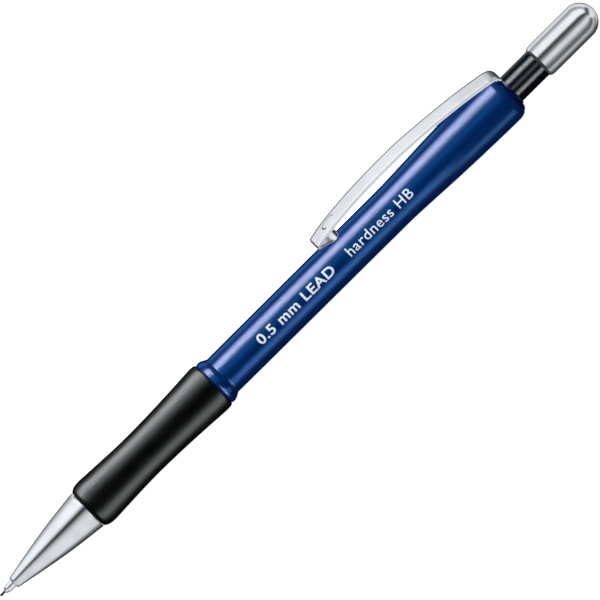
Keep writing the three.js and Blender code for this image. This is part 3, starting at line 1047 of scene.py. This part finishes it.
def studio(name, radius, receivers, along, sides, ends):
    """Shell of light cards far round the pencil, which only some of the metal pieces mirror.

    Cylindrical walls mirror sides. Each of ends is (side, start, full, angle, cards): cards that take over
    as the mirrored direction turns to the tip (-1) or to the cap (1), by their turn or height.
    """
    mesh = bmesh.new()
    bmesh.ops.create_icosphere(mesh, subdivisions=4, radius=radius)
    data = bpy.data.meshes.new(name)
    mesh.to_mesh(data)
    mesh.free()
    made = bpy.data.objects.new(name, data)
    bpy.context.scene.collection.objects.link(made)
    made.location = MIDDLE
    look = bpy.data.materials.new(name)
    look.use_nodes = True
    look.cycles.emission_sampling = "NONE"
    look.node_tree.nodes.clear()
    spot = node(look, "ShaderNodeTexCoord").outputs["Object"]
    direction = node(look, "ShaderNodeVectorMath", {0: spot}, operation="NORMALIZE")
    parts = node(look, "ShaderNodeSeparateXYZ", {"Vector": direction.outputs["Vector"]}).outputs
    toward = times(look, parts["Y"], -1.0)
    turn = node(look, "ShaderNodeMath", {0: parts["Z"], 1: toward}, operation="ARCTAN2").outputs[0]
    height = node(look, "ShaderNodeMath", {0: parts["Z"]}, operation="ARCSINE").outputs[0]
    color = cards(look, turn, sides, -180, 180)
    for side, start, full, angle, stops in ends:
        share = times(look, parts["X"], side)
        if angle == "turn":
            end = cards(look, turn, stops, -180, 180)
        else:
            end = cards(look, height, stops, -90, 90)
        color = blended(look, between(look, share, 0, 1, start, full), color, end)
    place_along = between(look, parts["X"], 0, 1, -1, 1)
    share = ramp(look, place_along, [((x + 1) / 2, (v, v, v)) for x, v in along])
    strength = times(look, share, CARD_STRENGTH)
    glow = node(look, "ShaderNodeEmission", {"Color": color, "Strength": strength})
    through = node(look, "ShaderNodeBsdfTransparent")
    both = node(look, "ShaderNodeAddShader", {0: glow.outputs["Emission"], 1: through.outputs["BSDF"]})
    output = node(look, "ShaderNodeOutputMaterial", {"Surface": both.outputs["Shader"]})
    output.is_active_output = True
    data.materials.append(look)
    made.visible_camera = False
    made.visible_shadow = False
    made.light_linking.receiver_collection = receivers
    made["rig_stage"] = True


def backdrop():
    """Plain pale world, which only the camera sees."""
    world = bpy.data.worlds.new("backdrop")
    bpy.context.scene.world = world
    world.use_nodes = True
    world.node_tree.nodes["Background"].inputs["Color"].default_value = (1, 1, 1, 1)
    world.cycles_visibility.diffuse = False
    world.cycles_visibility.glossy = False
    world.cycles_visibility.transmission = False


def card_light(name, receivers, blockers, degrees, width, radiance, color, gloss=True, reach=None):
    """Soft box along the pencil, at an angle round its axis, for highlights or else for soft shading.

    reach is the stretch of the pencil that a short, near box stands in front of.
    """
    distance, middle, length = 0.3, MIDDLE, 0.6
    if reach:
        distance = 0.1
        middle = place(sum(reach) / 2, 0, 0)
        length = (reach[1] - reach[0]) * MM
    lamp = bpy.data.lights.new(name, "AREA")
    lamp.shape = "RECTANGLE"
    lamp.size = length
    lamp.size_y = 2 * distance * math.tan(math.radians(width / 2))
    lamp.energy = radiance * math.pi * lamp.size * lamp.size_y
    lamp.color = color
    lamp.use_nodes = True
    spot = node(lamp, "ShaderNodeNewGeometry").outputs["Parametric"]
    across_card = node(lamp, "ShaderNodeSeparateXYZ", {"Vector": spot}).outputs["Y"]
    fade = ramp(lamp, across_card, [(0.0, (0, 0, 0)), (0.5, (1, 1, 1)), (1.0, (0, 0, 0))], "EASE")
    drive(lamp, lamp.node_tree.nodes["Emission"], "Strength", fade)
    made = bpy.data.objects.new(name, lamp)
    bpy.context.scene.collection.objects.link(made)
    angle = math.radians(degrees)
    away = Vector((0, -math.cos(angle), math.sin(angle)))
    across = away.cross(Vector((1, 0, 0)))
    made.location = middle + away * distance
    made.rotation_euler = Matrix((Vector((1, 0, 0)), across, away)).transposed().to_euler()
    made.visible_glossy = gloss
    made.visible_diffuse = not gloss
    made.light_linking.receiver_collection = receivers
    made.light_linking.blocker_collection = blockers


def collection(name, pieces):
    """New collection of the pieces, as light linking asks for."""
    made = bpy.data.collections.new(name)
    for piece in pieces:
        made.objects.link(piece)
    return made


def lights(ground):
    """Light cards for the metals and soft boxes for the rest, each linked to what it lights."""
    pieces = [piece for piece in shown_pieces() if not piece.hide_render]

    def having(*slots):
        return [piece for piece in pieces if piece.get("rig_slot") in slots]

    clip_strip = having("clip_steel")
    blue = collection("blues", having("blue_plastic", "dark_blue_plastic"))
    ring = collection("ring", [piece for piece in pieces if piece.name == "front_body_fine"])
    black = collection("blacks", having("black_plastic"))
    rubber = collection("rubbers", having("grip_rubber"))
    printed = collection("printed", having("print_white"))
    bodied = having(
        "blue_plastic", "dark_blue_plastic", "black_plastic", "print_white", "eraser_vinyl", "grey_plastic",
    )
    dull = collection("dull", [*bodied, ground])
    metals = having("satin_metal", "polished_steel", "spring_steel", "brass", "graphite", "washer_rubber")
    blockers = collection("blockers", [piece for piece in pieces if piece not in clip_strip])
    nose = collection("metals", metals)
    caps = collection("caps", having("cap_metal"))
    clips = collection("clips", clip_strip)
    nose_ends = [
        (-1, 0.03, 0.12, "turn", FRONT_CARDS), (-1, 0.32, 0.5, "height", TIP_END_CARDS),
        (1, 0.4, 0.8, "height", CAP_END_CARDS),
    ]
    cap_ends = [
        (-1, 0.32, 0.5, "height", BLACK_CARDS), (1, 0.4, 0.7, "turn", DOME_CARDS),
        (1, 0.84, 0.93, "height", CAP_END_CARDS),
    ]
    studio("nose_studio", 4.0, nose, NOSE_ALONG, SIDE_CARDS, nose_ends)
    studio("cap_studio", 4.2, caps, CAP_ALONG, SIDE_CARDS, cap_ends)
    studio("clip_studio", 4.4, clips, CLIP_ALONG, CLIP_CARDS, [])
    card_light("blue_top", blue, blockers, 86, 59, 17.2, (0.6, 0.69, 1.0), reach=(10, 138))
    card_light("blue_back", blue, blockers, 146, 44, 1.7, (0.2, 0.5, 1.0), reach=(20, 110))
    card_light("blue_face", blue, blockers, 43, 50, 1.8, (0.0, 0.38, 1.0), reach=(10, 140))
    card_light("blue_low_front", blue, blockers, -32, 60, 5.2, (0.14, 0.43, 1.1), reach=(30, 101))
    card_light("blue_low_rear", blue, blockers, -51, 44, 2.8, (0.15, 0.52, 1.1), reach=(103, 140))
    card_light("ring_low", ring, blockers, -26, 90, 7.0, (0.52, 0.62, 1.0), reach=(30, 75))
    card_light("black_top", black, blockers, 86, 50, 5.2, (0.88, 0.96, 1.0))
    card_light("black_low", black, blockers, -24, 44, 3.3, (0.95, 0.98, 1.0))
    card_light("black_front", black, blockers, 28, 36, 0.75, (0.85, 0.96, 1.0))
    card_light("black_back", black, blockers, 165, 60, 0.5, (0.9, 0.97, 1.0))
    card_light("rubber_top", rubber, blockers, 112, 60, 8.0, (0.95, 1.0, 1.0))
    card_light("rubber_front", rubber, blockers, 86, 64, 2.3, (0.93, 1.0, 1.0))
    card_light("rubber_low", rubber, blockers, -41, 66, 3.1, (0.9, 1.0, 0.98))
    card_light("rubber_key", rubber, blockers, 72, 60, 0.2, (1, 1, 1), gloss=False)
    card_light("print_key", printed, blockers, 26, 90, 0.9, (1, 1, 1), gloss=False)
    card_light("soft_key", dull, blockers, 80, 90, 2.6, (0.98, 1, 1), gloss=False)
    card_light("soft_fill", dull, blockers, -60, 90, 1.1, (0.7, 0.82, 1), gloss=False)


def camera():
    """Very long lens, 30 degrees above level, with the pencil slanting up to the right."""
    elevation = math.radians(30)
    slant = math.radians(44.76)
    frame_width = 0.10278
    lens, sensor = 1000, 36
    shift_along, shift_down = 0.62, 0.14
    back = Vector((0, -math.cos(elevation), math.sin(elevation)))
    up = Vector((0, math.sin(elevation), math.cos(elevation)))
    along = Vector((1, 0, 0))
    right = along * math.cos(slant) - up * math.sin(slant)
    top = along * math.sin(slant) + up * math.cos(slant)
    aim = MIDDLE + along * shift_along * MM - up * shift_down * MM
    data = bpy.data.cameras.new("camera")
    data.lens = lens
    data.sensor_width = sensor
    data.clip_end = 20.0
    made = bpy.data.objects.new("camera", data)
    bpy.context.scene.collection.objects.link(made)
    made.rotation_euler = Matrix((right, top, back)).transposed().to_euler()
    made.location = aim + back * frame_width * lens / sensor
    bpy.context.scene.camera = made


lights(floor())
backdrop()
camera()
bpy.context.scene.view_settings.view_transform = "Standard"
